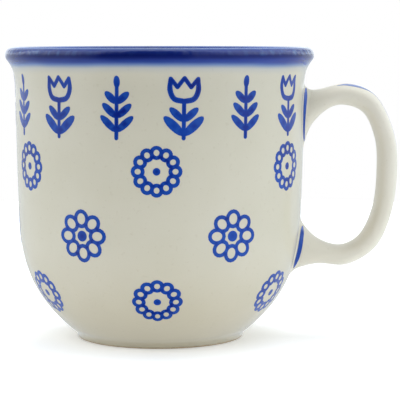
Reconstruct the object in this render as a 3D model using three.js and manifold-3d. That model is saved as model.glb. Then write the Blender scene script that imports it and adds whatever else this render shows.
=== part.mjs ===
// Glazed stoneware mug: a round-bellied cup with a flared, rolled lip and a turned foot ring,
// and a pulled strap handle stuck to the wall with slip at its upper and lower root.
//
// Units are millimetres and +Z is up. The mug stands on z = 0, the handle points along +X, and the
// origin is the centre of the whole mug's footprint, so the cup's axis lies a little towards -X.

import * as THREE from 'three';
import { mergeVertices } from 'three/addons/utils/BufferGeometryUtils.js';
import Module from 'manifold-3d';

const wasm = await Module();
wasm.setup();

// ---------- driving dimensions ----------

const mugHeight = 88.7;
const lipRadius = 47;            // widest point of the rolled lip
const lipRoll = 2.4;             // radius of the rolled lip's round edge
const neckRadius = 44.05;        // wall just below the lip
const shoulderRadius = 43.15;    // wall where the belly starts to turn in
const shoulderHeight = 36;
const wallThickness = 4;
const floorTop = 7.2;            // inside floor above the table

const footRadius = 25.4;         // flat of the foot ring, outer edge
const footInnerRadius = 21;      // flat of the foot ring, inner edge
const footRecess = 2.4;          // how far the underside is cut up inside the ring

const handleReach = 72.7;        // from the cup's axis to the back of the handle
const handleHalfWidth = 6.6;     // half of the strap's width across
const rootExtraHalfWidth = 1.2;  // how much the strap widens where it meets the wall
const sectionSquareness = 0.85;  // 1 is an ellipse, less is a squarer oval

const slipThickness = 1.2;       // layer of slip between the wall and a handle root
const slipBead = 1.1;            // how far the slip is squeezed out round the root
const gap = 0.3;                 // kept between pieces that touch

const turnSegments = 64;
const profileStep = 5.5;          // longest step along the cup's outline
const handleSteps = 44;
const sectionSteps = 20;

const cupAxisX = (lipRadius - handleReach) / 2;

// ---------- materials ----------

const glaze = () => new THREE.MeshStandardMaterial({ color: 0xc9c6b9, roughness: 0.16, metalness: 0 });

const cupMaterial = glaze();
const handleMaterial = glaze();
const slipMaterial = new THREE.MeshStandardMaterial({ color: 0xbdb9a8, roughness: 0.3, metalness: 0 });

// ---------- cup profile (radius, height) ----------

const lipCentre = new THREE.Vector2(lipRadius - lipRoll, mugHeight - lipRoll);
const lipUnderAngle = -Math.PI / 4;      // where the underside of the lip meets its round edge
const lipInsideAngle = Math.PI * 0.75;   // where the round edge meets the inside
const neckInside = neckRadius - wallThickness + 0.1;

function lipPoint(angle) {
  return [lipCentre.x + lipRoll * Math.cos(angle), lipCentre.y + lipRoll * Math.sin(angle)];
}

// Outside, from the flat of the foot ring up to the underside of the lip.
function drawOutside(path) {
  path.lineTo(footRadius, 0);
  path.quadraticCurveTo(footRadius + 0.4, 1.9, footRadius + 2.3, 3.1);
  path.bezierCurveTo(34, 8.8, 42.6, 17, shoulderRadius, shoulderHeight);
  path.bezierCurveTo(43.7, 50, neckRadius - 0.1, 62, neckRadius, 76.5);
  path.bezierCurveTo(neckRadius, 80.6, 44.8, 82.6, ...lipPoint(lipUnderAngle));
  return path;
}

function cupProfile() {
  const path = new THREE.Path();
  path.moveTo(0, footRecess + 0.2);
  path.lineTo(footInnerRadius - 2, footRecess);
  path.quadraticCurveTo(footInnerRadius - 0.4, footRecess - 0.2, footInnerRadius, 0);
  drawOutside(path);
  path.absarc(lipCentre.x, lipCentre.y, lipRoll, lipUnderAngle, lipInsideAngle, false);
  path.bezierCurveTo(42, 86.6, neckInside, 82.5, neckInside, 77.5);
  path.bezierCurveTo(40.2, 60, 39.4, 50, 39.1, 37);
  path.bezierCurveTo(38.8, 19, 32.5, floorTop + 0.6, 18, floorTop);
  path.lineTo(0, floorTop - 0.2);
  return path;
}

// The path's own corner points, with each curve cut into about the same length of step. The
// lip's half circle gets a point at its widest and at its highest.
function profilePoints(path) {
  const points = [];
  for (const curve of path.curves) {
    let divisions = Math.max(3, Math.ceil(curve.getLength() / profileStep));
    if (curve.type === 'LineCurve') divisions = 1;
    if (curve.type === 'EllipseCurve') divisions = 8;
    points.push(...curve.getSpacedPoints(divisions).slice(points.length > 0 ? 1 : 0));
  }
  return points;
}

// A solid of revolution about Z.
function turned(points) {
  const geometry = new THREE.LatheGeometry(points, turnSegments);
  geometry.rotateX(Math.PI / 2);
  return geometry;
}

// The outside of the cup as a filled solid, grown outwards by the given amount.
function filledCup(growth) {
  const path = new THREE.Path();
  path.moveTo(0, 0);
  drawOutside(path);
  const outside = profilePoints(path).map((p) => new THREE.Vector2(p.x > 0 ? p.x + growth : 0, p.y));
  const top = outside[outside.length - 1];
  return turned([...outside, new THREE.Vector2(0, top.y)]);
}

// ---------- handle ----------

// Pairs of points (x from the cup's axis, z): the handle's back and its grip side, from inside the
// wall at the upper root, round the loop, to inside the wall at the lower root.
const handleRails = [
  { back: [40.4, 75.8], grip: [42, 51.5] },
  { back: [47.9, 75.8], grip: [46.6, 65.4] },
  { back: [57.2, 77.6], grip: [54, 71] },
  { back: [65.3, 74.5], grip: [61.8, 69.15] },
  { back: [71.4, 63.2], grip: [65.8, 61.4] },
  { back: [handleReach, 52], grip: [66.6, 52] },
  { back: [70.9, 37.8], grip: [65.2, 39] },
  { back: [66.2, 27.5], grip: [60.9, 30.6] },
  { back: [57.3, 22.1], grip: [55.4, 28] },
  { back: [47.9, 22.3], grip: [48.2, 30.3] },
  { back: [37.9, 19.5], grip: [40.9, 38.5] },
];

function railCurve(side) {
  const points = handleRails.map((pair) => new THREE.Vector3(pair[side][0], 0, pair[side][1]));
  return new THREE.CatmullRomCurve3(points);
}

const signedPower = (value, power) => Math.sign(value) * Math.abs(value) ** power;

// Rings of an oval section carried between the two rails, closed by a flat fan at each end.
function handleGeometry(growth) {
  const back = railCurve('back');
  const grip = railCurve('grip');
  const positions = [];
  for (let step = 0; step <= handleSteps; step += 1) {
    const t = step / handleSteps;
    const backPoint = back.getPoint(t);
    const gripPoint = grip.getPoint(t);
    const centre = backPoint.clone().add(gripPoint).multiplyScalar(0.5);
    const reach = backPoint.clone().sub(centre);
    reach.setLength(reach.length() + growth);
    const rootShare = Math.abs(2 * t - 1) ** 6;
    const halfWidth = handleHalfWidth + rootExtraHalfWidth * rootShare + growth;
    for (let side = 0; side < sectionSteps; side += 1) {
      const angle = (2 * Math.PI * side) / sectionSteps;
      const across = signedPower(Math.sin(angle), sectionSquareness) * halfWidth;
      const along = signedPower(Math.cos(angle), sectionSquareness);
      positions.push(centre.x + reach.x * along, across, centre.z + reach.z * along);
    }
  }
  const indices = [];
  for (let step = 0; step < handleSteps; step += 1) {
    for (let side = 0; side < sectionSteps; side += 1) {
      const next = (side + 1) % sectionSteps;
      const a = step * sectionSteps + side;
      const b = step * sectionSteps + next;
      indices.push(a, a + sectionSteps, b, b, a + sectionSteps, b + sectionSteps);
    }
  }
  const lastRing = handleSteps * sectionSteps;
  for (let side = 1; side < sectionSteps - 1; side += 1) {
    indices.push(0, side, side + 1);
    indices.push(lastRing, lastRing + side + 1, lastRing + side);
  }
  const geometry = new THREE.BufferGeometry();
  geometry.setAttribute('position', new THREE.Float32BufferAttribute(positions, 3));
  geometry.setIndex(indices);
  return geometry;
}

// ---------- solids ----------

// A closed geometry as a manifold solid: vertices merged, triangles with no area left out.
function toSolid(geometry) {
  const bare = geometry.clone();
  bare.deleteAttribute('normal');
  bare.deleteAttribute('uv');
  const merged = mergeVertices(bare, 1e-4);
  const index = merged.index.array;
  const triangles = [];
  for (let i = 0; i < index.length; i += 3) {
    const [a, b, c] = [index[i], index[i + 1], index[i + 2]];
    if (a !== b && b !== c && c !== a) triangles.push(a, b, c);
  }
  const mesh = new wasm.Mesh({
    numProp: 3,
    vertProperties: merged.attributes.position.array,
    triVerts: new Uint32Array(triangles),
  });
  return new wasm.Manifold(mesh);
}

function toGeometry(solid) {
  const mesh = solid.getMesh();
  const geometry = new THREE.BufferGeometry();
  geometry.setAttribute('position', new THREE.BufferAttribute(new Float32Array(mesh.vertProperties), 3));
  geometry.setIndex(new THREE.BufferAttribute(new Uint32Array(mesh.triVerts), 1));
  geometry.computeVertexNormals();
  return geometry;
}

// The part of a solid that lies on one side of a level plane.
function half(solid, level, above) {
  const size = 400;
  const slab = new THREE.BoxGeometry(size, size, size);
  slab.translate(0, 0, level + (above ? size / 2 : -size / 2));
  return solid.intersect(toSolid(slab));
}

// ---------- assembly ----------

const bodyGeometry = turned(profilePoints(cupProfile()));

const handleStart = gap + slipThickness + gap;
const handleSolid = toSolid(handleGeometry(0)).subtract(toSolid(filledCup(handleStart)));

const slipRing = toSolid(handleGeometry(slipBead))
  .intersect(toSolid(filledCup(gap + slipThickness)))
  .subtract(toSolid(filledCup(gap)));
const betweenRoots = 46;

const mug = new THREE.Group();
mug.position.x = cupAxisX;

function addPiece(name, geometry, material) {
  const piece = new THREE.Mesh(geometry, material);
  piece.name = name;
  mug.add(piece);
}

addPiece('cup_body', bodyGeometry, cupMaterial);
addPiece('handle', toGeometry(handleSolid), handleMaterial);
addPiece('upper_slip_joint', toGeometry(half(slipRing, betweenRoots, true)), slipMaterial);
addPiece('lower_slip_joint', toGeometry(half(slipRing, betweenRoots, false)), slipMaterial.clone());

export default mug;
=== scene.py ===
import math
import bisect
import bpy
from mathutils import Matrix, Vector
from mathutils.geometry import delaunay_2d_cdt
from mathutils.kdtree import KDTree


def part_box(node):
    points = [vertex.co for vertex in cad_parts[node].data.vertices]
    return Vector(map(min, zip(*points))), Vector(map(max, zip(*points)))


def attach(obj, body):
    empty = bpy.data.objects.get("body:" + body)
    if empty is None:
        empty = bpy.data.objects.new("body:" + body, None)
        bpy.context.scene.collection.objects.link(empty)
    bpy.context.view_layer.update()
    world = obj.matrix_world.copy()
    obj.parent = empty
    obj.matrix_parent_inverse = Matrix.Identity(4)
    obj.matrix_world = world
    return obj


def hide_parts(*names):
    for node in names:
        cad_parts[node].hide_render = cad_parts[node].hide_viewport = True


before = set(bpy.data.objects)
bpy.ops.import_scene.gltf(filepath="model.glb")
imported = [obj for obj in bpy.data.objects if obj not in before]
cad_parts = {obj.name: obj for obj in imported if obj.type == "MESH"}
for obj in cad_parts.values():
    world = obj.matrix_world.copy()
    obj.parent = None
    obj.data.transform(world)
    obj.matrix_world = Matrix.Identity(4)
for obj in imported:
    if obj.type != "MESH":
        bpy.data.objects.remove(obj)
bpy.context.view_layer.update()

# Shapes are worked out in millimetres round the cup's own axis, as a potter would measure them,
# and turned into the frame's metres when a mesh is made. An azimuth of 0 faces the camera (-Y)
# and 90 degrees is the handle's side (+X).
MM = 0.001
CUP_LOW, CUP_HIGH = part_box("cup_body")
AXIS_X = (CUP_LOW[0] + CUP_HIGH[0]) / 2

HEIGHT = CUP_HIGH[2] / MM
LIP_RADIUS = (CUP_HIGH[0] - CUP_LOW[0]) / 2 / MM
LIP_ROLL = 2.4
NECK_RADIUS = 44.05
SHOULDER_RADIUS = 43.15
WALL_THICKNESS = 4.0
FLOOR_TOP = 7.2
FOOT_RADIUS = 25.4
FOOT_INNER_RADIUS = 21.0
FOOT_RECESS = 2.4
HANDLE_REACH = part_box("handle")[1][0] / MM - AXIS_X / MM
HANDLE_HALF_WIDTH = 6.6
ROOT_EXTRA_HALF_WIDTH = 1.2
SECTION_SQUARENESS = 0.85

TURN_STEPS = 256
INK_TOP = 0.05     # how far the painted pattern's face stands off the wall
INK_SINK = 0.12    # how far its back is sunk into the wall
INK_EDGE = 0.5     # width of the paler edge of a stamped mark


# ---------- curves ----------

def bezier(p0, p1, p2, p3, steps):
    """Points of a cubic curve, without its first point."""
    points = []
    for i in range(1, steps + 1):
        t = i / steps
        a, b, c, d = (1 - t) ** 3, 3 * t * (1 - t) ** 2, 3 * t * t * (1 - t), t ** 3
        points.append(tuple(a * w + b * x + c * y + d * z for w, x, y, z in zip(p0, p1, p2, p3)))
    return points


def arc(centre, radius, start, end, steps):
    """Points of a circular arc, angles in degrees, without its first point."""
    points = []
    for i in range(1, steps + 1):
        angle = math.radians(start + (end - start) * i / steps)
        points.append((centre[0] + radius * math.cos(angle), centre[1] + radius * math.sin(angle)))
    return points


def catmull_rom(points, t):
    """The centripetal Catmull-Rom curve through the points, at t from 0 to 1."""
    last = len(points) - 1
    place = min(max(t, 0.0), 1.0) * last
    i = min(int(place), last - 1)
    local = place - i
    p = [Vector(points[max(i - 1, 0)]), Vector(points[i]), Vector(points[i + 1]),
         Vector(points[min(i + 2, last)])]
    if i == 0:
        p[0] = p[1] * 2 - p[2]
    if i == last - 1:
        p[3] = p[2] * 2 - p[1]
    d1, d2, d3 = (max((p[k + 1] - p[k]).length, 1e-6) ** 0.5 for k in range(3))
    slope1 = ((p[1] - p[0]) / d1 - (p[2] - p[0]) / (d1 + d2) + (p[2] - p[1]) / d2) * d2
    slope2 = ((p[2] - p[1]) / d2 - (p[3] - p[1]) / (d2 + d3) + (p[3] - p[2]) / d3) * d2
    h = local
    return (p[1] * (2 * h ** 3 - 3 * h ** 2 + 1) + slope1 * (h ** 3 - 2 * h ** 2 + h)
            + p[2] * (-2 * h ** 3 + 3 * h ** 2) + slope2 * (h ** 3 - h ** 2))


def smooth_step(low, high, value):
    t = min(max((value - low) / (high - low), 0.0), 1.0)
    return t * t * (3 - 2 * t)


# ---------- the cup's profile (radius, height) ----------

LIP_CENTRE = (LIP_RADIUS - LIP_ROLL, HEIGHT - LIP_ROLL)
LIP_UNDERSIDE = (LIP_CENTRE[0] + LIP_ROLL * math.cos(math.pi / 4),
                 LIP_CENTRE[1] - LIP_ROLL * math.sin(math.pi / 4))
NECK_INSIDE = NECK_RADIUS - WALL_THICKNESS + 0.1


def outside_profile():
    """From the flat of the foot ring up the outside to the underside of the lip."""
    foot_edge = (FOOT_RADIUS, 0.35)
    foot_top = (FOOT_RADIUS + 2.3, 3.1)
    shoulder = (SHOULDER_RADIUS, 36)
    neck = (NECK_RADIUS, 76.5)
    points = [(FOOT_RADIUS - 0.5, 0)]
    points += bezier(points[-1], (FOOT_RADIUS - 0.2, 0), (FOOT_RADIUS, 0.1), foot_edge, 5)
    points += bezier(foot_edge, (FOOT_RADIUS + 0.1, 1.5), (FOOT_RADIUS + 1.0, 2.2), foot_top, 12)
    points += bezier(foot_top, (34, 8.8), (42.6, 17), shoulder, 44)
    points += bezier(shoulder, (43.7, 50), (NECK_RADIUS - 0.1, 62), neck, 34)
    points += bezier(neck, (NECK_RADIUS, 80.6), (44.8, 82.6), LIP_UNDERSIDE, 16)
    return points


def cup_profile():
    """The whole closed outline, from the axis under the floor to the axis above it."""
    lip_inside = (LIP_CENTRE[0] - LIP_ROLL * math.cos(math.pi / 4),
                  LIP_CENTRE[1] + LIP_ROLL * math.sin(math.pi / 4))
    neck_inside = (NECK_INSIDE, 77.5)
    shoulder_inside = (39.1, 37)
    recess_edge = (FOOT_INNER_RADIUS - 2, FOOT_RECESS)
    floor_edge = (18, FLOOR_TOP)
    points = [(0, FOOT_RECESS + 0.2)]
    points += bezier(points[0], (6, FOOT_RECESS + 0.2), (12, FOOT_RECESS + 0.1), recess_edge, 8)
    points += bezier(recess_edge, (FOOT_INNER_RADIUS - 1.1, FOOT_RECESS), (FOOT_INNER_RADIUS - 0.5, 1.2),
                     (FOOT_INNER_RADIUS, 0), 8)
    points += [(FOOT_INNER_RADIUS + 1.4, 0), (FOOT_INNER_RADIUS + 2.8, 0)]
    points += outside_profile()
    points += arc(LIP_CENTRE, LIP_ROLL, -45, 135, 20)
    points += bezier(lip_inside, (42, 86.6), (NECK_INSIDE, 82.5), neck_inside, 14)
    points += bezier(neck_inside, (40.2, 60), (39.4, 50), shoulder_inside, 24)
    points += bezier(shoulder_inside, (38.8, 19), (32.5, FLOOR_TOP + 0.6), floor_edge, 30)
    points += bezier(floor_edge, (12, FLOOR_TOP - 0.1), (6, FLOOR_TOP - 0.2), (0, FLOOR_TOP - 0.2), 8)
    return points


def hand_wobble(azimuth, height):
    """How far the turned wall strays from a true circle, in millimetres, none at foot and lip."""
    share = smooth_step(3, 14, height) * (1 - smooth_step(70, 84, height))
    slow = math.sin(2 * azimuth + 0.7) * 0.05 + math.sin(3 * azimuth - height / 21) * 0.03
    rings = math.sin(height * 1.15 + 0.4 * math.sin(azimuth)) * 0.012
    return share * (slow + rings)


class Wall:
    """The cup's outside as a sheet with two coordinates: azimuth and length up the profile."""

    def __init__(self):
        self.points = outside_profile() + arc(LIP_CENTRE, LIP_ROLL, -45, 90, 14)
        self.lengths = [0.0]
        for a, b in zip(self.points, self.points[1:]):
            self.lengths.append(self.lengths[-1] + math.dist(a, b))

    def length_at(self, height):
        """The length up the profile at which the wall has this height."""
        heights = [p[1] for p in self.points]
        i = min(max(bisect.bisect_left(heights, height), 1), len(heights) - 1)
        share = (height - heights[i - 1]) / (heights[i] - heights[i - 1])
        return self.lengths[i - 1] + share * (self.lengths[i] - self.lengths[i - 1])

    def section(self, length):
        """Radius, height and outward normal (radial, up) at a length up the profile."""
        i = min(max(bisect.bisect_left(self.lengths, length), 1), len(self.lengths) - 1)
        span = self.lengths[i] - self.lengths[i - 1]
        share = (length - self.lengths[i - 1]) / span
        (r0, z0), (r1, z1) = self.points[i - 1], self.points[i]
        before = self.points[max(i - 2, 0)]
        after = self.points[min(i + 1, len(self.points) - 1)]
        low = Vector((r1 - before[0], z1 - before[1])).normalized()
        high = Vector((after[0] - r0, after[1] - z0)).normalized()
        along = low.lerp(high, share).normalized()
        return r0 + share * (r1 - r0), z0 + share * (z1 - z0), (along[1], -along[0])

    def point(self, azimuth, length, lift=0.0):
        radius, height, (out, up) = self.section(length)
        reach = radius + hand_wobble(azimuth, height) + out * lift
        return Vector((reach * math.sin(azimuth), -reach * math.cos(azimuth), height + up * lift))


wall = Wall()


# ---------- mesh making ----------

def new_piece(name, points, faces, sharp_edges=()):
    """A mesh object from points in millimetres round the cup's axis."""
    mesh = bpy.data.meshes.new(name)
    mesh.from_pydata([(x * MM + AXIS_X, y * MM, z * MM) for x, y, z in points], [], faces)
    mesh.validate()
    mesh.shade_smooth()
    wanted = {tuple(sorted(edge)) for edge in sharp_edges}
    if wanted:
        for edge in mesh.edges:
            edge.use_edge_sharp = tuple(sorted(edge.vertices)) in wanted
    piece = bpy.data.objects.new(name, mesh)
    bpy.context.scene.collection.objects.link(piece)
    return piece


def grid_faces(rows, columns, closed_rows=False):
    """Quads over a grid of points stored row by row, each row a closed loop."""
    faces = []
    for row in range(rows if closed_rows else rows - 1):
        for column in range(columns):
            next_row = (row + 1) % rows
            next_column = (column + 1) % columns
            faces.append((row * columns + column, row * columns + next_column,
                          next_row * columns + next_column, next_row * columns + column))
    return faces


def make_cup():
    profile = cup_profile()
    rings = profile[1:-1]
    outside = set(outside_profile())
    points = []
    for radius, height in rings:
        for step in range(TURN_STEPS):
            azimuth = 2 * math.pi * step / TURN_STEPS
            reach = radius
            if (radius, height) in outside:
                reach += hand_wobble(azimuth, height)
            points.append((reach * math.sin(azimuth), -reach * math.cos(azimuth), height))
    faces = grid_faces(len(rings), TURN_STEPS)
    under = len(points)
    points.append((0, 0, profile[0][1]))
    floor = len(points)
    points.append((0, 0, profile[-1][1]))
    last_ring = (len(rings) - 1) * TURN_STEPS
    for step in range(TURN_STEPS):
        after = (step + 1) % TURN_STEPS
        faces.append((under, after, step))
        faces.append((floor, last_ring + step, last_ring + after))
    return new_piece("glazed_cup", points, faces)


# ---------- handle ----------

# The handle's back and its grip side as pairs of points (x from the cup's axis, z), from inside
# the wall at the upper root, round the loop, to inside the wall at the lower root.
HANDLE_BACK = [(40.4, 75.8), (47.9, 75.8), (57.2, 77.6), (65.3, 74.5), (71.4, 63.2),
               (HANDLE_REACH, 52), (70.9, 37.8), (66.2, 27.5), (57.3, 22.1), (47.9, 22.3), (37.9, 19.5)]
HANDLE_GRIP = [(42, 51.5), (46.6, 65.4), (54, 71), (61.8, 69.15), (65.8, 61.4), (66.6, 52),
               (65.2, 39), (60.9, 30.6), (55.4, 28), (48.2, 30.3), (40.9, 38.5)]


def signed_power(value, power):
    return math.copysign(abs(value) ** power, value)


def handle_point(t, angle, growth=0.0):
    """A point of the handle's skin, t along it from upper to lower root, angle round its section."""
    back = catmull_rom(HANDLE_BACK, t)
    grip = catmull_rom(HANDLE_GRIP, t)
    centre = (back + grip) / 2
    reach = back - centre
    reach = reach.normalized() * (reach.length + growth)
    root_share = abs(2 * t - 1) ** 6
    half_width = HANDLE_HALF_WIDTH + ROOT_EXTRA_HALF_WIDTH * root_share + growth
    across = signed_power(math.sin(angle), SECTION_SQUARENESS) * half_width
    along = signed_power(math.cos(angle), SECTION_SQUARENESS)
    return Vector((centre[0] + reach[0] * along, across, centre[1] + reach[1] * along))


def depth_in_wall(point):
    """How far a point lies inside the cup's outer skin, negative when it is outside."""
    radius, _, _ = wall.section(wall.length_at(point[2]))
    return radius - math.hypot(point[0], point[1])


def root_parameter(angle, upper):
    """Where along the handle the line at this angle round its section goes into the wall."""
    outside, inside = (0.25, 0.0) if upper else (0.75, 1.0)
    for _ in range(30):
        middle = (outside + inside) / 2
        if depth_in_wall(handle_point(middle, angle)) > 0:
            inside = middle
        else:
            outside = middle
    return (outside + inside) / 2


HANDLE_SIDES = 64
HANDLE_STEPS = 180
ROOT_SINK = 0.012     # how far past the wall's skin each end runs on, as a share of the handle


def make_handle():
    """The skin between the two roots; its ends stop a little inside the wall."""
    points = []
    starts, ends = [], []
    for side in range(HANDLE_SIDES):
        angle = 2 * math.pi * side / HANDLE_SIDES
        starts.append(root_parameter(angle, True) - ROOT_SINK)
        ends.append(root_parameter(angle, False) + ROOT_SINK)
    for step in range(HANDLE_STEPS + 1):
        share = step / HANDLE_STEPS
        for side in range(HANDLE_SIDES):
            angle = 2 * math.pi * side / HANDLE_SIDES
            t = starts[side] + (ends[side] - starts[side]) * share
            points.append(handle_point(t, angle))
    faces = grid_faces(HANDLE_STEPS + 1, HANDLE_SIDES)
    for ring, order in ((0, 1), (HANDLE_STEPS, -1)):
        corners = [ring * HANDLE_SIDES + side for side in range(HANDLE_SIDES)]
        faces.append(tuple(corners[::order]))
    return new_piece("strap_handle", points, faces)


# ---------- slip fillets ----------

FILLET_STEPS = 14
FILLET_SINK = -0.03    # how far its two edges are sunk, so that they blend into wall and handle
FILLET_PULL = 0.6      # how far the curve's inner control points reach towards the corner


def section_direction(t, angle):
    """The outward direction of the handle's section at this angle."""
    inner = handle_point(t, angle, 0.0)
    outer = handle_point(t, angle, 1.0)
    return (outer - inner).normalized()


def fillet_curve(angle, upper, extra=0.0):
    """The fillet's four control points, from the wall up onto the handle, and the root's point."""
    t_root = root_parameter(angle, upper)
    root = handle_point(t_root, angle)
    direction = section_direction(t_root, angle)
    back_share = (math.cos(angle) + 1) / 2
    on_wall = 1.5 + 0.9 * back_share
    on_handle = 2.0 + 1.0 * back_share
    azimuth = math.atan2(root[0], -root[1])
    length = wall.length_at(root[2])
    radius, _, (out, up) = wall.section(length)
    around = Vector((math.cos(azimuth), math.sin(azimuth), 0))
    rise = Vector((-up * math.sin(azimuth), up * math.cos(azimuth), out))
    flat = Vector((direction.dot(around), direction.dot(rise))).normalized()
    wall_end = wall.point(azimuth + flat[0] * on_wall / radius, length + flat[1] * on_wall, extra)
    toward_root = -(around * flat[0] + rise * flat[1])
    sign = 1 if upper else -1
    near = handle_point(t_root + sign * 0.002, angle)
    far_t = t_root + sign * 0.002 * on_handle / max((near - root).length, 1e-6)
    handle_end = handle_point(far_t, angle, extra)
    before = handle_point(far_t - sign * 0.003, angle, extra)
    to_wall = (before - handle_end).normalized()
    return (wall_end, wall_end + toward_root * on_wall * FILLET_PULL,
            handle_end + to_wall * on_handle * FILLET_PULL, handle_end, root)


def make_slip(name, upper):
    """A ring of slip that rounds off the corner between wall and handle root."""
    points = []
    for side in range(HANDLE_SIDES):
        angle = 2 * math.pi * side / HANDLE_SIDES
        p0, p1, p2, p3, root = fillet_curve(angle, upper, FILLET_SINK)
        row = [tuple(p0)] + bezier(p0, p1, p2, p3, FILLET_STEPS)
        inward = section_direction(root_parameter(angle, upper), angle) * -0.5
        row.append(tuple(root + inward - Vector((0.6, 0, 0))))
        points += row
    columns = FILLET_STEPS + 2
    faces = grid_faces(HANDLE_SIDES, columns, closed_rows=True)
    if upper:
        faces = [face[::-1] for face in faces]
    sharp = []
    for side in range(HANDLE_SIDES):
        after = (side + 1) % HANDLE_SIDES
        for column in (0, FILLET_STEPS, FILLET_STEPS + 1):
            sharp.append((side * columns + column, after * columns + column))
    return new_piece(name, points, faces, sharp_edges=sharp)


# ---------- brush strokes, drawn flat ----------
# A stamp is drawn round its own origin, x to the right and y up, in millimetres. It is a list of
# (outline, inked, spine): inked outlines are painted, the others stay bare, and the spine's points
# only help the mesh to follow the wall.

STROKE_SPACING = 0.5
OVAL_STEPS = 16
LINE = 1.15             # width of the outlines of petals and beads
LEAF_RISE = 43          # how steeply leaves rise from the stem, in degrees
STROKE_WEIGHT = 1.1     # how much the colour spreads beyond the width of each stroke


def sampled(points):
    """Evenly spaced points on a smooth curve through the given ones."""
    if len(points) == 2:
        points = [points[0], tuple((a + b) / 2 for a, b in zip(*points)), points[1]]
    dense_steps = 12 * (len(points) - 1)
    dense = [catmull_rom(points, i / dense_steps) for i in range(dense_steps + 1)]
    lengths = [0.0]
    for a, b in zip(dense, dense[1:]):
        lengths.append(lengths[-1] + (b - a).length)
    count = max(3, math.ceil(lengths[-1] / STROKE_SPACING))
    result = []
    for i in range(count + 1):
        wanted = lengths[-1] * i / count
        k = min(max(bisect.bisect_left(lengths, wanted), 1), len(dense) - 1)
        share = (wanted - lengths[k - 1]) / (lengths[k] - lengths[k - 1])
        result.append(dense[k - 1].lerp(dense[k], share))
    return result


def stroke(points, widths):
    """A brush stroke along a smooth curve, its width changing evenly, with round ends."""
    path = sampled(points)
    last = len(path) - 1
    left, right = [], []
    normals, halves = [], []
    for i, point in enumerate(path):
        along = (path[min(i + 1, last)] - path[max(i - 1, 0)]).normalized()
        place = i / last * (len(widths) - 1)
        k = min(int(place), len(widths) - 2)
        half = (widths[k] + (widths[k + 1] - widths[k]) * (place - k)) / 2 * STROKE_WEIGHT
        normals.append(Vector((-along[1], along[0])))
        halves.append(half)
        left.append(point + normals[-1] * half)
        right.append(point - normals[-1] * half)
    outline = list(right)
    outline += round_end(path[-1], -normals[-1], halves[-1])
    outline += reversed(left)
    outline += round_end(path[0], normals[0], halves[0])
    return outline, True, path[1:-1]


def round_end(centre, start, radius, steps=5):
    """Half a circle from start, anticlockwise, without its first and last point."""
    points = []
    for i in range(1, steps):
        angle = math.pi * i / steps
        turned = Vector((start[0] * math.cos(angle) - start[1] * math.sin(angle),
                         start[0] * math.sin(angle) + start[1] * math.cos(angle)))
        points.append(centre + turned * radius)
    return points


def oval(centre, half_x, half_y, turn=0.0, inked=True):
    """A filled or bare oval, turned anticlockwise by an angle in radians."""
    outline = []
    for i in range(OVAL_STEPS):
        angle = 2 * math.pi * i / OVAL_STEPS
        x = half_x * math.cos(angle)
        y = half_y * math.sin(angle)
        outline.append(Vector((centre[0] + x * math.cos(turn) - y * math.sin(turn),
                               centre[1] + x * math.sin(turn) + y * math.cos(turn))))
    return outline, inked, [Vector(centre)]


def both_sides(points, widths):
    """A stroke and its mirror image across the stamp's upright line."""
    return [stroke(points, widths), stroke([(-x, y) for x, y in points], widths)]


def leaf_pair(height, half_length, half_width):
    """Two solid oval leaves that leave the stem at one height."""
    leaves = []
    for turn in (math.radians(LEAF_RISE), math.radians(180 - LEAF_RISE)):
        centre = (half_length * math.cos(turn), height + half_length * math.sin(turn))
        leaves.append(oval(centre, half_length, half_width, turn))
    return leaves


def plain_tulip():
    """A pattern-book tulip: a cup with a zigzag top on a straight stem with two pairs of leaves."""
    marks = [stroke([(0, 11), (0, 0.4)], [1.1, 1.1])]
    marks += both_sides([(0, 10.8), (2.8, 11.5), (4.0, 13.8), (3.9, 17.2)], [1.4, 1.4, 1.4, 1.1])
    marks += both_sides([(3.9, 17.2), (1.95, 14.8)], [1.1, 1.1])
    marks += both_sides([(1.95, 14.8), (0, 17.4)], [1.1, 1.1])
    marks += leaf_pair(1.2, 3.9, 1.35) + leaf_pair(5.2, 2.8, 1.1)
    return marks


def leaf_sprig():
    """An upright stem with three pairs of solid leaves and one leaf at its tip."""
    marks = [stroke([(0, 15.5), (0, 0.4)], [1.0, 1.1]), oval((0, 16.3), 0.95, 1.8)]
    for height, half_length in ((2.2, 3.3), (6.2, 2.9), (10.2, 2.4)):
        marks += leaf_pair(height, half_length, 1.1)
    return marks


def ring_of_ovals(inner, outer, count):
    """Outlined ovals side by side in an even ring between two radii."""
    middle, half_along = (inner + outer) / 2, (outer - inner) / 2
    half_across = middle * math.sin(math.pi / count)
    marks = []
    for i in range(count):
        angle = 2 * math.pi * i / count + math.pi / 2
        centre = (middle * math.cos(angle), middle * math.sin(angle))
        marks.append(oval(centre, half_along + LINE / 2, half_across + LINE / 2, angle))
        marks.append(oval(centre, half_along - LINE / 2, half_across - LINE / 2, angle, inked=False))
    return marks


def daisy():
    """Eight round petals about a solid heart."""
    return ring_of_ovals(2.8, 7.2, 8) + [oval((0, 0), 1.6, 1.6)]


def wreath():
    """A ring of small beads with a dot in its middle."""
    return ring_of_ovals(3.9, 6.8, 12) + [oval((0, 0), 1.1, 1.1)]


# ---------- stamps laid on the wall ----------

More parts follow.
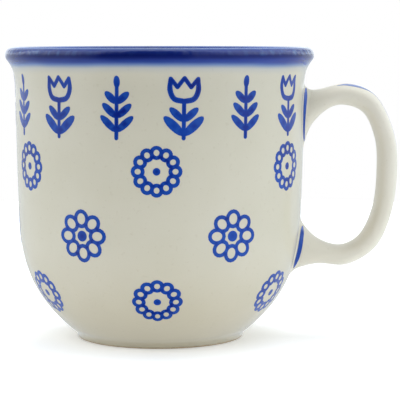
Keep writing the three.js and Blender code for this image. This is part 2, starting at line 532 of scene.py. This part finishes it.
def inked_area(marks):
    """The painted area of a stamp as one triangle mesh: points, triangles and outer edges."""
    coords, outlines, bare = [], [], set()
    for outline, inked, _ in marks:
        if not inked:
            bare.add(len(outlines))
        outlines.append(list(range(len(coords), len(coords) + len(outline))))
        coords += outline
    for _, _, spine in marks:
        coords += spine
    points, _, triangles, _, _, owners = delaunay_2d_cdt([Vector(c) for c in coords], [], outlines, 0,
                                                         1e-5, True)
    kept = [tuple(face) for face, owner in zip(triangles, owners) if owner and not bare & set(owner)]
    directed = {(f[i], f[(i + 1) % 3]) for f in kept for i in range(3)}
    rim = [edge for edge in directed if (edge[1], edge[0]) not in directed]
    used = sorted({i for face in kept for i in face})
    renumber = {old: new for new, old in enumerate(used)}
    points = [points[i] for i in used]
    kept = [tuple(renumber[i] for i in face) for face in kept]
    rim = sorted((renumber[a], renumber[b]) for a, b in rim)
    return points, kept, rim


def stamp_on_wall(name, stamps):
    """One piece holding many stamps, each (marks, azimuth, height, tilt in radians). The point
    attribute ink_depth is 0 at a mark's edge and 1 from INK_EDGE inwards."""
    points, faces, sharp, depth = [], [], [], []
    for marks, azimuth, height, tilt in stamps:
        flat, triangles, rim = inked_area(marks)
        base_length = wall.length_at(height)
        radius = wall.section(base_length)[0]
        edge_tree = KDTree(len(rim))
        for i, (a, _) in enumerate(rim):
            edge_tree.insert((flat[a][0], flat[a][1], 0), i)
        edge_tree.balance()
        first, count = len(points), len(flat)
        for lift in (INK_TOP, -INK_SINK):
            for x, y in flat:
                turned_x = x * math.cos(tilt) - y * math.sin(tilt)
                turned_y = x * math.sin(tilt) + y * math.cos(tilt)
                points.append(wall.point(azimuth + turned_x / radius, base_length + turned_y, lift))
                depth.append(min(edge_tree.find((x, y, 0))[2] / INK_EDGE, 1.0))
        for a, b, c in triangles:
            faces.append((first + a, first + b, first + c))
            faces.append((first + count + c, first + count + b, first + count + a))
        for a, b in rim:
            faces.append((first + a, first + count + a, first + count + b, first + b))
            sharp.append((first + a, first + b))
            sharp.append((first + count + a, first + count + b))
    piece = new_piece(name, points, faces, sharp_edges=sharp)
    layer = piece.data.attributes.new("ink_depth", "FLOAT", "POINT")
    layer.data.foreach_set("value", depth)
    return piece


# The stamps are evenly spaced round the wall, from one side of the handle to the other. Azimuths
# are in degrees.
FIRST_PLACE = 60
FRIEZE_STEP, FRIEZE_COUNT, FRIEZE_HEIGHT = 25, 13, 63
ROW_STEP = 60
WREATH_COUNT, UPPER_WREATH_HEIGHT, LOWER_WREATH_HEIGHT = 6, 54, 16
DAISY_COUNT, DAISY_HEIGHT = 5, 35
HAND_TILT = 1.5     # how far a stamp set by hand leans, in degrees
LIP_RUN_PLACE = (70, 84.0)


def placed(draw, places):
    """The same drawing at each (azimuth, height). The sine is of the degrees themselves, so
    neighbouring stamps lean by unlike amounts."""
    return [(draw(), math.radians(azimuth), height, math.radians(HAND_TILT * math.sin(azimuth)))
            for azimuth, height in places]


def even_places(first, step, count, height):
    return [(first - step * i, height) for i in range(count)]


def lip_run():
    """A short run of cobalt just under the painted lip."""
    return [stroke([(-3.4, 0.5), (-1, 0.35), (1.2, -0.1), (3.2, -0.45)], [0.25, 0.6, 0.75, 0.5])]


def make_tulip_frieze():
    """Plain tulips and leaf sprigs by turns round the neck."""
    places = even_places(FIRST_PLACE, FRIEZE_STEP, FRIEZE_COUNT, FRIEZE_HEIGHT)
    return stamp_on_wall("tulip_frieze", placed(plain_tulip, places[0::2])
                         + placed(leaf_sprig, places[1::2]) + placed(lip_run, [LIP_RUN_PLACE]))


def make_rosettes():
    """Wreaths and daisies in three rows, each row set halfway between the places of the next."""
    upper = even_places(FIRST_PLACE, ROW_STEP, WREATH_COUNT, UPPER_WREATH_HEIGHT)
    middle = even_places(FIRST_PLACE - ROW_STEP // 2, ROW_STEP, DAISY_COUNT, DAISY_HEIGHT)
    lower = even_places(FIRST_PLACE, ROW_STEP, WREATH_COUNT, LOWER_WREATH_HEIGHT)
    return stamp_on_wall("rosette_stamps", placed(wreath, upper) + placed(daisy, middle)
                         + placed(wreath, lower))


# ---------- strokes on the handle ----------

def painted_strip(name, rows):
    """A thin closed strip from rows of (face point, back point) pairs across it."""
    columns = len(rows[0])
    points = [pair[0] for row in rows for pair in row]
    points += [pair[1] for row in rows for pair in row]
    count = len(rows) * columns
    faces, sharp = [], []
    for r in range(len(rows) - 1):
        for c in range(columns - 1):
            a, b = r * columns + c, r * columns + c + 1
            d, e = a + columns, b + columns
            faces.append((a, b, e, d))
            faces.append((count + d, count + e, count + b, count + a))
    loop = list(range(columns))
    loop += [r * columns + columns - 1 for r in range(1, len(rows))]
    loop += [(len(rows) - 1) * columns + c for c in range(columns - 2, -1, -1)]
    loop += [r * columns for r in range(len(rows) - 2, 0, -1)]
    for a, b in zip(loop, loop[1:] + loop[:1]):
        faces.append((b, a, count + a, count + b))
        sharp += [(a, b), (count + a, count + b)]
    return new_piece(name, points, faces, sharp_edges=sharp)


def make_root_stroke(name, upper, near):
    """A brush stroke down one side of a handle root, over the slip."""
    steps, across, curve_steps = 44, 5, 40
    start, end = (12, 152) if upper else (38, 152)
    width = 1.35 if upper else 1.5
    rows = []
    for i in range(steps + 1):
        share = i / steps
        angle = math.radians(start + (end - start) * share)
        taper = min(1, 4.5 * share, 4.5 * (1 - share)) ** 0.6
        middle = (0.40 + 0.56 * share ** 2.4) if upper else (0.46 + 0.30 * share)
        signed = -angle if near else angle
        row = []
        for lift in (INK_TOP, -INK_SINK):
            p0, p1, p2, p3, _ = fillet_curve(signed, upper, lift)
            curve = [p0] + [Vector(p) for p in bezier(p0, p1, p2, p3, curve_steps)]
            length = sum((b - a).length for a, b in zip(curve, curve[1:]))
            half = (0.04 + width * taper) / 2 / length
            side = []
            for k in range(across + 1):
                place = min((middle + half * (2 * k / across - 1)) * curve_steps, curve_steps)
                cell = min(int(place), curve_steps - 1)
                side.append(curve[cell].lerp(curve[cell + 1], place - cell))
            row.append(side)
        rows.append(list(zip(row[0], row[1])))
    if near == upper:
        rows = [row[::-1] for row in rows]
    return painted_strip(name, rows)


def make_back_stroke():
    """The long brush stroke down the handle's back. It starts on the near side and drifts over."""
    steps, across = 150, 12
    start, end = 0.165, 0.86
    half_angle = math.radians(20)
    rows = []
    for i in range(steps + 1):
        share = i / steps
        t = start + (end - start) * share
        taper = min(1, 7 * share, 7 * (1 - share)) ** 0.7
        reach = half_angle * (0.04 + 0.96 * taper) * (1 + 0.05 * math.sin(9 * share))
        drift = math.radians(-25 + 38 * smooth_step(0.05, 0.27, share))
        row = []
        for k in range(across + 1):
            angle = drift + reach * (2 * k / across - 1)
            row.append((handle_point(t, angle, INK_TOP), handle_point(t, angle, -INK_SINK)))
        rows.append(row)
    return painted_strip("handle_back_stroke", rows)


# ---------- studio light ----------

# The tent's brightness by azimuth, in degrees as for the cup, near the floor's level and higher
# up: a dark mouth in front, where the camera looks in, between two bright white panels.
TENT_LOW = [(-180, 1.4), (-150, 1.35), (-132, 1.3), (-115, 1.1), (-95, 0.95), (-70, 0.9), (-52, 0.5),
            (-44, 0.06), (-38, 0.03), (20, 0.03), (28, 0.45), (50, 0.5), (66, 0.7), (95, 0.9),
            (120, 1.1), (134, 1.5), (150, 1.4), (180, 1.5)]
TENT_HIGH = [(-180, 0.9), (-165, 0.6), (-150, 0.5), (-136, 0.5), (-131, 2.2), (-118, 1.6),
             (-100, 1.4), (-75, 1.3), (-60, 0.9), (-45, 0.3), (-37, 0.05), (-20, 0.03), (20, 0.03),
             (30, 0.45), (53, 0.7), (66, 1.2), (95, 1.6), (127, 1.3), (133, 2.0), (140, 1.0),
             (150, 0.5), (165, 0.6), (180, 0.9)]
TENT_TINT = (0.93, 1.0, 1.06)
TENT_CHANGE = (0.0, 0.36)   # sine of the elevations between which the first turns into the second
ROOF_FROM = 82               # elevation in degrees at the middle of the turn from walls to roof
ROOF_BLEND = 8               # and how far that turn reaches to either side
ROOF_LIGHT = 0.4
BELOW_LIGHT = 0.55           # what is left of the tent's light below the floor's level
FLOOR_GLOW = 0.22            # the floor is a white sheet lit from below
FLOOR_RADIUS = 0.34
FLOOR_DROP = 0.00005         # how far it lies below the foot ring
FLOOR_SETBACK = 0.10         # how far the sheet's middle lies behind the cup


# ---------- materials ----------

class Nodes:
    """A material's node tree with short calls for the nodes it needs."""

    def __init__(self, name):
        self.material = bpy.data.materials.new(name)
        self.material.use_nodes = True
        self.tree = self.material.node_tree
        self.shader = self.tree.nodes["Principled BSDF"]
        self.place = self.add("ShaderNodeTexCoord").outputs["Object"]

    def add(self, kind, **settings):
        node = self.tree.nodes.new(kind)
        for key, value in settings.items():
            setattr(node, key, value)
        return node

    def link(self, source, target):
        self.tree.links.new(source, target)

    def noise(self, scale, detail=3.0, roughness=0.5, stretch=(1, 1, 1)):
        mapping = self.add("ShaderNodeMapping")
        mapping.inputs["Scale"].default_value = stretch
        self.link(self.place, mapping.inputs["Vector"])
        node = self.add("ShaderNodeTexNoise")
        node.inputs["Scale"].default_value = scale
        node.inputs["Detail"].default_value = detail
        node.inputs["Roughness"].default_value = roughness
        self.link(mapping.outputs["Vector"], node.inputs["Vector"])
        return node.outputs["Fac"]

    def ramp(self, source, stops):
        """A colour ramp; each stop is (position, colour or grey)."""
        node = self.add("ShaderNodeValToRGB")
        elements = node.color_ramp.elements
        while len(elements) < len(stops):
            elements.new(0.5)
        for element, (position, value) in zip(elements, stops):
            element.position = position
            element.color = (*value, 1) if isinstance(value, tuple) else (value, value, value, 1)
        self.link(source, node.inputs["Fac"])
        return node.outputs["Color"]

    def mix(self, factor, first, second, blend="MIX"):
        node = self.add("ShaderNodeMix", data_type="RGBA", blend_type=blend)
        if isinstance(factor, (int, float)):
            node.inputs[0].default_value = factor
        else:
            self.link(factor, node.inputs[0])
        for socket, value in ((node.inputs[6], first), (node.inputs[7], second)):
            if isinstance(value, (int, float)):
                value = (value, value, value)
            if isinstance(value, tuple):
                socket.default_value = (*value, 1)
            else:
                self.link(value, socket)
        return node.outputs[2]

    def math(self, operation, first, second=0.0):
        node = self.add("ShaderNodeMath", operation=operation)
        for socket, value in zip(node.inputs, (first, second)):
            if isinstance(value, (int, float)):
                socket.default_value = value
            else:
                self.link(value, socket)
        return node.outputs[0]

    def range(self, source, low, high, to_low=0.0, to_high=1.0, smooth=True):
        node = self.add("ShaderNodeMapRange", interpolation_type="SMOOTHSTEP" if smooth else "LINEAR")
        self.link(source, node.inputs["Value"])
        for key, value in (("From Min", low), ("From Max", high), ("To Min", to_low), ("To Max", to_high)):
            node.inputs[key].default_value = value
        return node.outputs["Result"]

    def bump(self, height, distance, strength=1.0):
        node = self.add("ShaderNodeBump")
        node.inputs["Distance"].default_value = distance
        node.inputs["Strength"].default_value = strength
        self.link(height, node.inputs["Height"])
        self.link(node.outputs["Normal"], self.shader.inputs["Normal"])

    def height_mm(self):
        separate = self.add("ShaderNodeSeparateXYZ")
        self.link(self.place, separate.inputs[0])
        return self.math("MULTIPLY", separate.outputs["Z"], 1 / MM)


GLAZE_IOR = 1.52
CUP_GLOSS = (0.09, 0.17)        # lowest and highest roughness
HANDLE_GLOSS = (0.34, 0.46)
HANDLE_SPECULAR = 0.3
RIPPLE_DISTANCE, RIPPLE_STRENGTH = 0.00006, 0.5


def glaze_body_colour(nodes, share=(1.0, 1.0, 1.0)):
    """Warm off-white stoneware seen through clear glaze, faintly mottled; share scales each colour."""
    cloud = nodes.noise(38, detail=4, roughness=0.55)
    dull, bright = (0.597, 0.564, 0.452), (0.628, 0.595, 0.491)
    base = nodes.ramp(cloud, [(0.3, tuple(c * k for c, k in zip(dull, share))),
                              (0.7, tuple(c * k for c, k in zip(bright, share)))])
    fleck = nodes.ramp(nodes.noise(900, detail=1), [(0.66, 0.0), (0.74, 1.0)])
    return nodes.mix(nodes.math("MULTIPLY", fleck, 0.12), base, (0.40, 0.33, 0.22))


def glaze_gloss(nodes, roughness):
    """The glaze's index, and its roughness in soft patches."""
    nodes.shader.inputs["IOR"].default_value = GLAZE_IOR
    return nodes.range(nodes.noise(55, detail=2), 0.3, 0.7, *roughness)


def glaze_ripple(nodes):
    return nodes.noise(160, detail=2, stretch=(1, 1, 1.6))


def glaze_surface(nodes, roughness=CUP_GLOSS):
    """Gloss with a faint ripple. The cup builds its own from the same parts."""
    nodes.link(glaze_gloss(nodes, roughness), nodes.shader.inputs["Roughness"])
    nodes.bump(glaze_ripple(nodes), RIPPLE_DISTANCE, RIPPLE_STRENGTH)


LIP_BAND_FOOT = 83.4    # height at which the painted lip band begins


def cup_material():
    nodes = Nodes("cup_glaze_painted")
    height = nodes.height_mm()
    colour = glaze_body_colour(nodes)

    # The glaze runs down and gathers above the foot, and the cup is painted warmer and darker there; the
    # darkening is partly painted shade, standing in for the shade under the belly.
    foot_shade_share = nodes.range(height, 35.0, 5.0)
    colour = nodes.mix(nodes.math("MULTIPLY", foot_shade_share, 0.36), colour, (0.450, 0.375, 0.235))

    # Cobalt band over the lip: its lower edge wanders and sags towards the cup's two sides, and
    # the colour bleeds down into the glaze, from nearly black blue through a teal fringe to grey.
    across = nodes.add("ShaderNodeSeparateXYZ")
    nodes.link(nodes.place, across.inputs[0])
    off_axis = nodes.math("MULTIPLY", nodes.math("SUBTRACT", across.outputs["X"], AXIS_X), 1 / MM)
    sag = nodes.math("MULTIPLY", nodes.math("MULTIPLY", off_axis, off_axis), 0.00024)
    wander = nodes.math("MULTIPLY", nodes.math("SUBTRACT", nodes.noise(40, detail=2), 0.5), 1.2)
    level = nodes.math("ADD", nodes.math("ADD", height, wander), sag)
    # Towards the crest the cobalt is painted paler: a painted highlight standing in for overhead light
    # reflected on the lip's top.
    up_the_lip = nodes.range(height, 85.2, HEIGHT, smooth=False)
    cobalt = nodes.ramp(up_the_lip, [(0.06, (0.018, 0.040, 0.240)), (0.26, (0.009, 0.018, 0.140)),
                                     (0.43, (0.003, 0.010, 0.120)), (0.60, (0.004, 0.014, 0.150)),
                                     (0.86, (0.008, 0.030, 0.220)), (1.00, (0.070, 0.160, 0.430))])
    streaks = nodes.ramp(nodes.noise(24, detail=4, stretch=(1, 1, 7)), [(0.3, 0.75), (0.7, 1.3)])
    cobalt = nodes.mix(1.0, cobalt, streaks, blend="MULTIPLY")
    # Paler curdled streaks on the lip's face are pigment, but they are painted stronger towards the cup's
    # left and right sides as seen from the front: a painted reflection of the side light.
    curdled = nodes.ramp(nodes.noise(430, detail=2, stretch=(1, 1, 0.4)), [(0.47, 0.08), (0.64, 1.0)])
    face = nodes.math("MULTIPLY", nodes.range(height, 86.2, 87.2), nodes.range(height, 88.4, 87.9))
    side_sheen_share = nodes.range(nodes.math("ABSOLUTE", off_axis), 12, 38, 0.05, 0.7)
    pale = nodes.math("MULTIPLY", nodes.math("MULTIPLY", curdled, face), side_sheen_share)
    cobalt = nodes.mix(pale, cobalt, (0.045, 0.115, 0.310))
    teal = nodes.mix(nodes.range(level, LIP_BAND_FOOT + 0.3, LIP_BAND_FOOT + 1.7),
                     (0.170, 0.260, 0.470), (0.035, 0.080, 0.330))
    halo = nodes.range(level, LIP_BAND_FOOT - 2.4, LIP_BAND_FOOT + 0.5)
    colour = nodes.mix(nodes.math("MULTIPLY", halo, 0.42), colour, (0.300, 0.370, 0.480))
    fringe = nodes.range(level, LIP_BAND_FOOT - 0.5, LIP_BAND_FOOT + 0.9)
    colour = nodes.mix(fringe, colour, teal)
    body = nodes.range(level, LIP_BAND_FOOT + 0.7, LIP_BAND_FOOT + 2.2)
    colour = nodes.mix(body, colour, cobalt)

    # The foot ring's edge is wiped clean of glaze and shows bare tan clay.
    clay_edge = nodes.math("ADD", height, nodes.math("MULTIPLY", nodes.noise(120, detail=2), 0.5))
    bare = nodes.range(clay_edge, 0.85, 0.55)
    clay = nodes.ramp(nodes.noise(700, detail=4, roughness=0.7),
                      [(0.3, (0.350, 0.270, 0.165)), (0.7, (0.490, 0.400, 0.270))])
    colour = nodes.mix(bare, colour, clay)
    nodes.link(colour, nodes.shader.inputs["Base Color"])

    # Rough where it is bare; rippled, most of all on the face of the lip.
    rough = nodes.mix(bare, glaze_gloss(nodes, CUP_GLOSS), 0.75)
    nodes.link(rough, nodes.shader.inputs["Roughness"])
    ripple = nodes.math("MULTIPLY", glaze_ripple(nodes), 0.6)
    lip_share = nodes.math("MULTIPLY", face, 9.0)
    lip_ripple = nodes.math("MULTIPLY", nodes.noise(400, detail=1, stretch=(1, 1, 0.6)), lip_share)
    grit = nodes.math("MULTIPLY", nodes.noise(1800, detail=2), bare)
    relief = nodes.math("ADD", nodes.math("ADD", ripple, lip_ripple), grit)
    nodes.bump(relief, RIPPLE_DISTANCE, RIPPLE_STRENGTH)
    return nodes.material


# The handle's glaze is painted lighter and cooler than the cup's, a lit copy of the same glaze that stands
# in for the extra light from the right on the handle; the slip's is painted between the two.
HANDLE_LIGHT_SHARE = (1.18, 1.18, 1.23)
SLIP_LIGHT_SHARE = (1.08, 1.08, 1.10)


def plain_glaze_material(name, share):
    nodes = Nodes(name)
    nodes.link(glaze_body_colour(nodes, share), nodes.shader.inputs["Base Color"])
    glaze_surface(nodes, HANDLE_GLOSS)
    nodes.shader.inputs["Specular IOR Level"].default_value = HANDLE_SPECULAR
    return nodes.material


def cobalt_material(name, deep, light, edge):
    """Cobalt under glaze: deep or lighter in patches, and paler at a stamp's edges. The brush
    strokes have no ink_depth, which reads as 0, so they are as pale as an edge all over."""
    nodes = Nodes(name)
    patches = nodes.noise(95, detail=3, roughness=0.6)
    colour = nodes.ramp(patches, [(0.32, deep), (0.68, light)])
    depth = nodes.add("ShaderNodeAttribute", attribute_name="ink_depth").outputs["Fac"]
    thin = nodes.range(depth, 0.9, 0.0)
    colour = nodes.mix(nodes.math("MULTIPLY", thin, 0.55), colour, edge)
    nodes.link(colour, nodes.shader.inputs["Base Color"])
    glaze_surface(nodes)
    return nodes.material


def floor_material():
    nodes = Nodes("pale_floor")
    tone = nodes.ramp(nodes.noise(30, detail=2), [(0.3, 0.93), (0.7, 0.95)])
    nodes.link(tone, nodes.shader.inputs["Base Color"])
    nodes.shader.inputs["Roughness"].default_value = 0.9
    nodes.shader.inputs["Specular IOR Level"].default_value = 0.1
    nodes.shader.inputs["Emission Color"].default_value = (1, 1, 1, 1)
    nodes.shader.inputs["Emission Strength"].default_value = FLOOR_GLOW
    return nodes.material


# ---------- the pieces ----------

COBALT = dict(deep=(0.003, 0.012, 0.190), light=(0.007, 0.050, 0.340), edge=(0.018, 0.090, 0.420))
PALE_COBALT = dict(deep=(0.050, 0.090, 0.330), light=(0.120, 0.190, 0.480), edge=(0.25, 0.33, 0.58))

cup = make_cup()
cup.data.materials.append(cup_material())
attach(cup, "root")
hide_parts("cup_body")

handle = make_handle()
handle.data.materials.append(plain_glaze_material("handle_glaze_lit_copy", HANDLE_LIGHT_SHARE))
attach(handle, "root")
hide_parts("handle")

slip_glaze = plain_glaze_material("slip_glaze_lit_copy", SLIP_LIGHT_SHARE)
for piece_name, node_name, is_upper in (("upper_slip_fillet", "upper_slip_joint", True),
                                        ("lower_slip_fillet", "lower_slip_joint", False)):
    slip = make_slip(piece_name, is_upper)
    slip.data.materials.append(slip_glaze)
    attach(slip, "root")
    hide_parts(node_name)

stamp_cobalt = cobalt_material("cobalt_stamp", **COBALT)
brush_cobalt = cobalt_material("cobalt_brush", **COBALT)
pale_brush_cobalt = cobalt_material("cobalt_pale_brush", **PALE_COBALT)
painted = [(make_tulip_frieze(), stamp_cobalt, "cup_glaze"),
           (make_rosettes(), stamp_cobalt, "cup_glaze"),
           (make_root_stroke("upper_root_stroke_near", True, True), brush_cobalt, "slip_glaze"),
           (make_root_stroke("upper_root_stroke_far", True, False), brush_cobalt, "slip_glaze"),
           (make_root_stroke("lower_root_stroke_near", False, True), brush_cobalt, "slip_glaze"),
           (make_root_stroke("lower_root_stroke_far", False, False), brush_cobalt, "slip_glaze"),
           (make_back_stroke(), pale_brush_cobalt, "handle_glaze")]
for piece, paint, slot in painted:
    piece.data.materials.append(paint)
    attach(piece, "root")


# ---------- floor, light and camera ----------

def make_floor():
    """A level round sheet just under the foot ring."""
    rings, sides = 16, 96
    points = [(0, FLOOR_SETBACK, -FLOOR_DROP)]
    for ring in range(1, rings + 1):
        reach = FLOOR_RADIUS * (ring / rings) ** 1.5
        for side in range(sides):
            angle = 2 * math.pi * side / sides
            x, y = reach * math.cos(angle), FLOOR_SETBACK + reach * math.sin(angle)
            points.append((x, y, -FLOOR_DROP))
    faces = [(0, 1 + side, 1 + (side + 1) % sides) for side in range(sides)]
    for ring in range(rings - 1):
        for side in range(sides):
            after = (side + 1) % sides
            a, b = 1 + ring * sides + side, 1 + ring * sides + after
            faces.append((a, a + sides, b + sides, b))
    mesh = bpy.data.meshes.new("studio_floor")
    mesh.from_pydata(points, [], faces)
    mesh.shade_smooth()
    floor = bpy.data.objects.new("studio_floor", mesh)
    bpy.context.scene.collection.objects.link(floor)
    floor.data.materials.append(floor_material())
    floor.visible_glossy = False


def area_light(name, place, target, size, watts, colour=(1.0, 1.0, 1.0)):
    """A softbox that lights the mug but isn't mirrored in it."""
    data = bpy.data.lights.new(name, "AREA")
    data.shape = "RECTANGLE"
    data.size, data.size_y = size
    data.energy = watts
    data.color = colour
    light = bpy.data.objects.new(name, data)
    bpy.context.scene.collection.objects.link(light)
    light.location = place
    light.rotation_euler = (Vector(target) - Vector(place)).to_track_quat("-Z", "Y").to_euler()
    light.visible_glossy = False


def make_world():
    """The light of a white tent. The camera itself sees the tent as plain white."""
    world = bpy.data.worlds.new("studio_world")
    world.use_nodes = True
    tree = world.node_tree

    def node(kind, operation=None):
        made = tree.nodes.new(kind)
        if operation:
            made.operation = operation
        return made

    direction = node("ShaderNodeSeparateXYZ")
    tree.links.new(node("ShaderNodeTexCoord").outputs["Generated"], direction.inputs[0])
    toward_camera = node("ShaderNodeMath", "MULTIPLY")
    tree.links.new(direction.outputs["Y"], toward_camera.inputs[0])
    toward_camera.inputs[1].default_value = -1
    azimuth = node("ShaderNodeMath", "ARCTAN2")
    tree.links.new(direction.outputs["X"], azimuth.inputs[0])
    tree.links.new(toward_camera.outputs[0], azimuth.inputs[1])
    turn = node("ShaderNodeMapRange")
    turn.inputs["From Min"].default_value = -math.pi
    turn.inputs["From Max"].default_value = math.pi
    tree.links.new(azimuth.outputs[0], turn.inputs["Value"])

    def ring_of_light(stops):
        ring = node("ShaderNodeValToRGB")
        elements = ring.color_ramp.elements
        while len(elements) < len(stops):
            elements.new(0.5)
        for element, (degrees, light) in zip(elements, stops):
            element.position = (degrees + 180) / 360
            element.color = (*(light * tint for tint in TENT_TINT), 1)
        tree.links.new(turn.outputs["Result"], ring.inputs["Fac"])
        return ring.outputs["Color"]

    def by_height(low, high):
        share = node("ShaderNodeMapRange")
        share.interpolation_type = "SMOOTHSTEP"
        share.inputs["From Min"].default_value = low
        share.inputs["From Max"].default_value = high
        tree.links.new(direction.outputs["Z"], share.inputs["Value"])
        return share.outputs["Result"]

    walls = node("ShaderNodeMix")
    walls.data_type = "RGBA"
    tree.links.new(by_height(*TENT_CHANGE), walls.inputs[0])
    tree.links.new(ring_of_light(TENT_LOW), walls.inputs[6])
    tree.links.new(ring_of_light(TENT_HIGH), walls.inputs[7])
    light = node("ShaderNodeMix")
    light.data_type = "RGBA"
    roof_edge = [math.sin(math.radians(ROOF_FROM + side * ROOF_BLEND)) for side in (-1, 1)]
    tree.links.new(by_height(*roof_edge), light.inputs[0])
    tree.links.new(walls.outputs[2], light.inputs[6])
    light.inputs[7].default_value = (ROOF_LIGHT, ROOF_LIGHT, ROOF_LIGHT, 1)
    above = node("ShaderNodeMapRange")
    above.inputs["From Min"].default_value = -0.05
    above.inputs["From Max"].default_value = 0.0
    above.inputs["To Min"].default_value = BELOW_LIGHT
    tree.links.new(direction.outputs["Z"], above.inputs["Value"])
    tent = tree.nodes["Background"]
    tree.links.new(light.outputs[2], tent.inputs["Color"])
    tree.links.new(above.outputs["Result"], tent.inputs["Strength"])
    seen = node("ShaderNodeBackground")
    seen.inputs["Color"].default_value = (1, 1, 1, 1)
    chooser = node("ShaderNodeMixShader")
    tree.links.new(node("ShaderNodeLightPath").outputs["Is Camera Ray"], chooser.inputs[0])
    tree.links.new(tent.outputs[0], chooser.inputs[1])
    tree.links.new(seen.outputs[0], chooser.inputs[2])
    tree.links.new(chooser.outputs[0], tree.nodes["World Output"].inputs["Surface"])
    bpy.context.scene.world = world


make_floor()
middle = (0, 0, HEIGHT * MM / 2)
area_light("top_softbox", (0.05, 0.20, 1.1), middle, (0.8, 0.6), 4.8)
area_light("right_softbox", (0.42, -0.30, 0.12), middle, (0.26, 0.36), 0.44, (0.86, 0.93, 1.0))
area_light("front_fill", (-0.35, -0.85, 0.85), middle, (0.9, 0.7), 4.4)
make_world()

CAMERA_DISTANCE = 0.530
CAMERA_HEIGHT = 0.0929
CAMERA_SIDE = -0.0006
AIM_HEIGHT = 0.0418
LENS_MM = 155.7

camera_data = bpy.data.cameras.new("camera")
camera_data.lens = LENS_MM
camera_data.sensor_width = 36
camera_data.clip_start = 0.01
camera = bpy.data.objects.new("camera", camera_data)
bpy.context.scene.collection.objects.link(camera)
camera.location = (CAMERA_SIDE, -CAMERA_DISTANCE, CAMERA_HEIGHT)
view_line = Vector((CAMERA_SIDE, 0, AIM_HEIGHT)) - camera.location
camera.rotation_euler = view_line.to_track_quat("-Z", "Y").to_euler()
bpy.context.scene.camera = camera
bpy.context.scene.view_settings.view_transform = "Standard"
